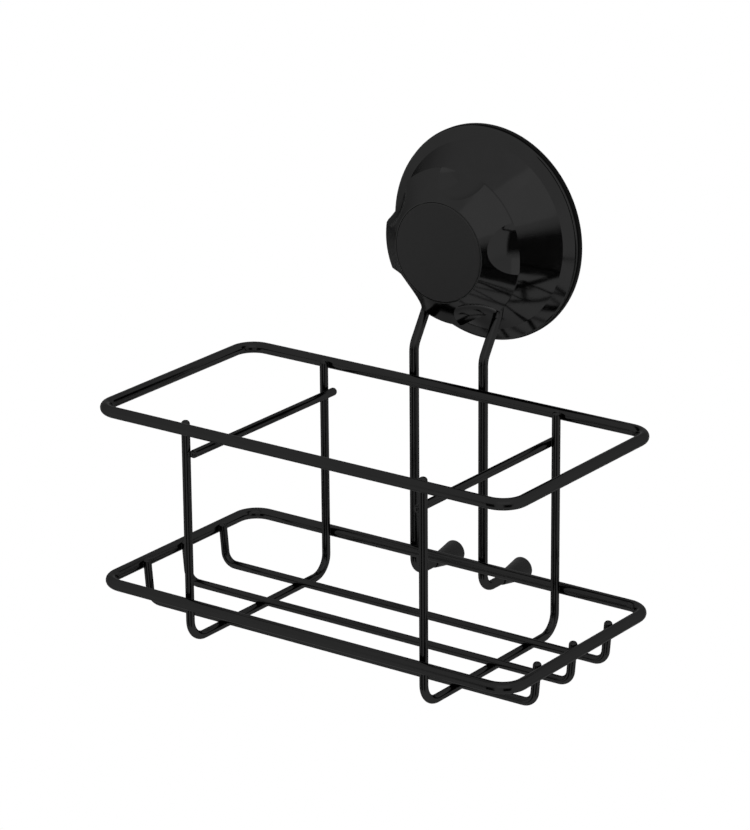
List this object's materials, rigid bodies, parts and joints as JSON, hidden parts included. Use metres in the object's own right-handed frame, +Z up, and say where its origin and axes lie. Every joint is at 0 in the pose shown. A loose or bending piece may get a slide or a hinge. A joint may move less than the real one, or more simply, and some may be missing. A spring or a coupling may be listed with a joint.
{
  "type": "shower caddy",
  "caption": "Wall shower caddy: a rounded wire basket with side dividers, hung by a bent wire loop from a twist-lock suction cup with a scooped knob and a rubber pad.",
  "frame": {"origin": "centre of the suction pad's face on the wall", "axes": "+Y into the wall along the suction cup's axis, +X along the wall to the right seen from the room, +Z up"},
  "size_m": [0.215, 0.1427, 0.2073],
  "materials": {
    "coated_wire": "satin black coating on round steel wire",
    "bumper_rubber": "soft matte black rubber",
    "pad_rubber": "smooth black rubber",
    "bell_plastic": "glossy black moulding",
    "knob_plastic": "glossy black moulding",
    "cap_plastic": "satin black moulding",
    "washer_plastic": "slippery black washer",
    "stud_steel": "plain turned steel"
  },
  "bodies": {
    "basket": {"top_rim": "coated_wire", "bottom_rim": "coated_wire", "left_hoop": "coated_wire", "right_hoop": "coated_wire", "left_side_bar": "coated_wire", "right_side_bar": "coated_wire", "front_base_wire": "coated_wire", "middle_base_wire": "coated_wire", "rear_base_wire": "coated_wire", "hanger_wire": "coated_wire", "left_wall_bumper": "bumper_rubber", "right_wall_bumper": "bumper_rubber", "suction_pad": "pad_rubber", "bell_cover": "bell_plastic", "thrust_washer": "washer_plastic"},
    "knob_group": {"knob": "knob_plastic", "knob_nut": "stud_steel", "knob_cap": "cap_plastic"},
    "draw_core": {"draw_stud": "stud_steel", "stop_washer": "stud_steel", "stop_screw": "stud_steel"}
  },
  "joints": [
    {"name": "knob_turn", "type": "hinge", "parent": "basket", "child": "knob_group", "pos_m": [0, -0.0231, 0], "axis": [0, 1, 0], "range_deg": [0, 270]},
    {"name": "stud_draw", "type": "slide", "parent": "basket", "child": "draw_core", "axis": [0, -1, 0], "range_m": [0, 0.0024], "deforming": ["suction_pad"]}
  ],
  "couplings": [
    {"joint": "stud_draw", "follows": "knob_turn", "m_per_rad": 0.000509}
  ]
}
